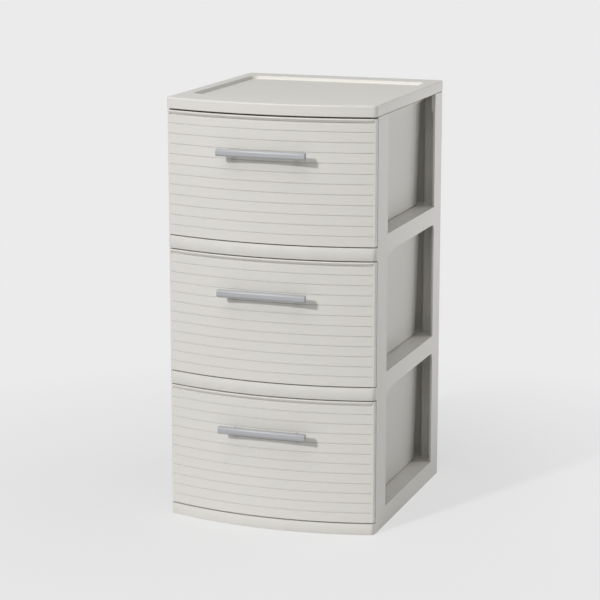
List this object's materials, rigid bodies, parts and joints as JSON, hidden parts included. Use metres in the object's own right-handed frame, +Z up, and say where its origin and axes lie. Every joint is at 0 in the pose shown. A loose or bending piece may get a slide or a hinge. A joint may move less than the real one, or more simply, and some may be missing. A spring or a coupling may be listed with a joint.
{
  "type": "plastic drawer tower",
  "caption": "Free-standing moulded plastic storage tower with bowed, grooved drawers, silver bar handles, open side windows and a shallow tray top.",
  "frame": {"origin": "middle of the footprint on the floor, the handles included", "axes": "+Z up, the drawers pull out along -Y, +X to the right of someone facing the drawers"},
  "size_m": [0.321, 0.383, 0.63],
  "materials": {
    "frame_plastic": "moulded polypropylene, fine matte texture",
    "cover_plastic": "moulded polypropylene, fine matte texture",
    "drawer_plastic": "moulded polypropylene, satin",
    "handle_silver": "silver-grey moulded ABS, satin",
    "screw_steel": "zinc-plated"
  },
  "bodies": {
    "tower": {"base_frame": "frame_plastic", "frame_bottom": "frame_plastic", "frame_middle": "frame_plastic", "frame_top": "frame_plastic", "top_cover": "cover_plastic"},
    "bottom_drawer": {"drawer_bottom": "drawer_plastic", "handle_bottom": "handle_silver", "handle_screws_bottom": "screw_steel"},
    "middle_drawer": {"drawer_middle": "drawer_plastic", "handle_middle": "handle_silver", "handle_screws_middle": "screw_steel"},
    "top_drawer": {"drawer_top": "drawer_plastic", "handle_top": "handle_silver", "handle_screws_top": "screw_steel"}
  },
  "joints": [
    {"name": "bottom_drawer_slide", "type": "slide", "parent": "tower", "child": "bottom_drawer", "axis": [0, -1, 0], "range_m": [0, 0.2645]},
    {"name": "middle_drawer_slide", "type": "slide", "parent": "tower", "child": "middle_drawer", "axis": [0, -1, 0], "range_m": [0, 0.2645]},
    {"name": "top_drawer_slide", "type": "slide", "parent": "tower", "child": "top_drawer", "axis": [0, -1, 0], "range_m": [0, 0.2645]}
  ]
}
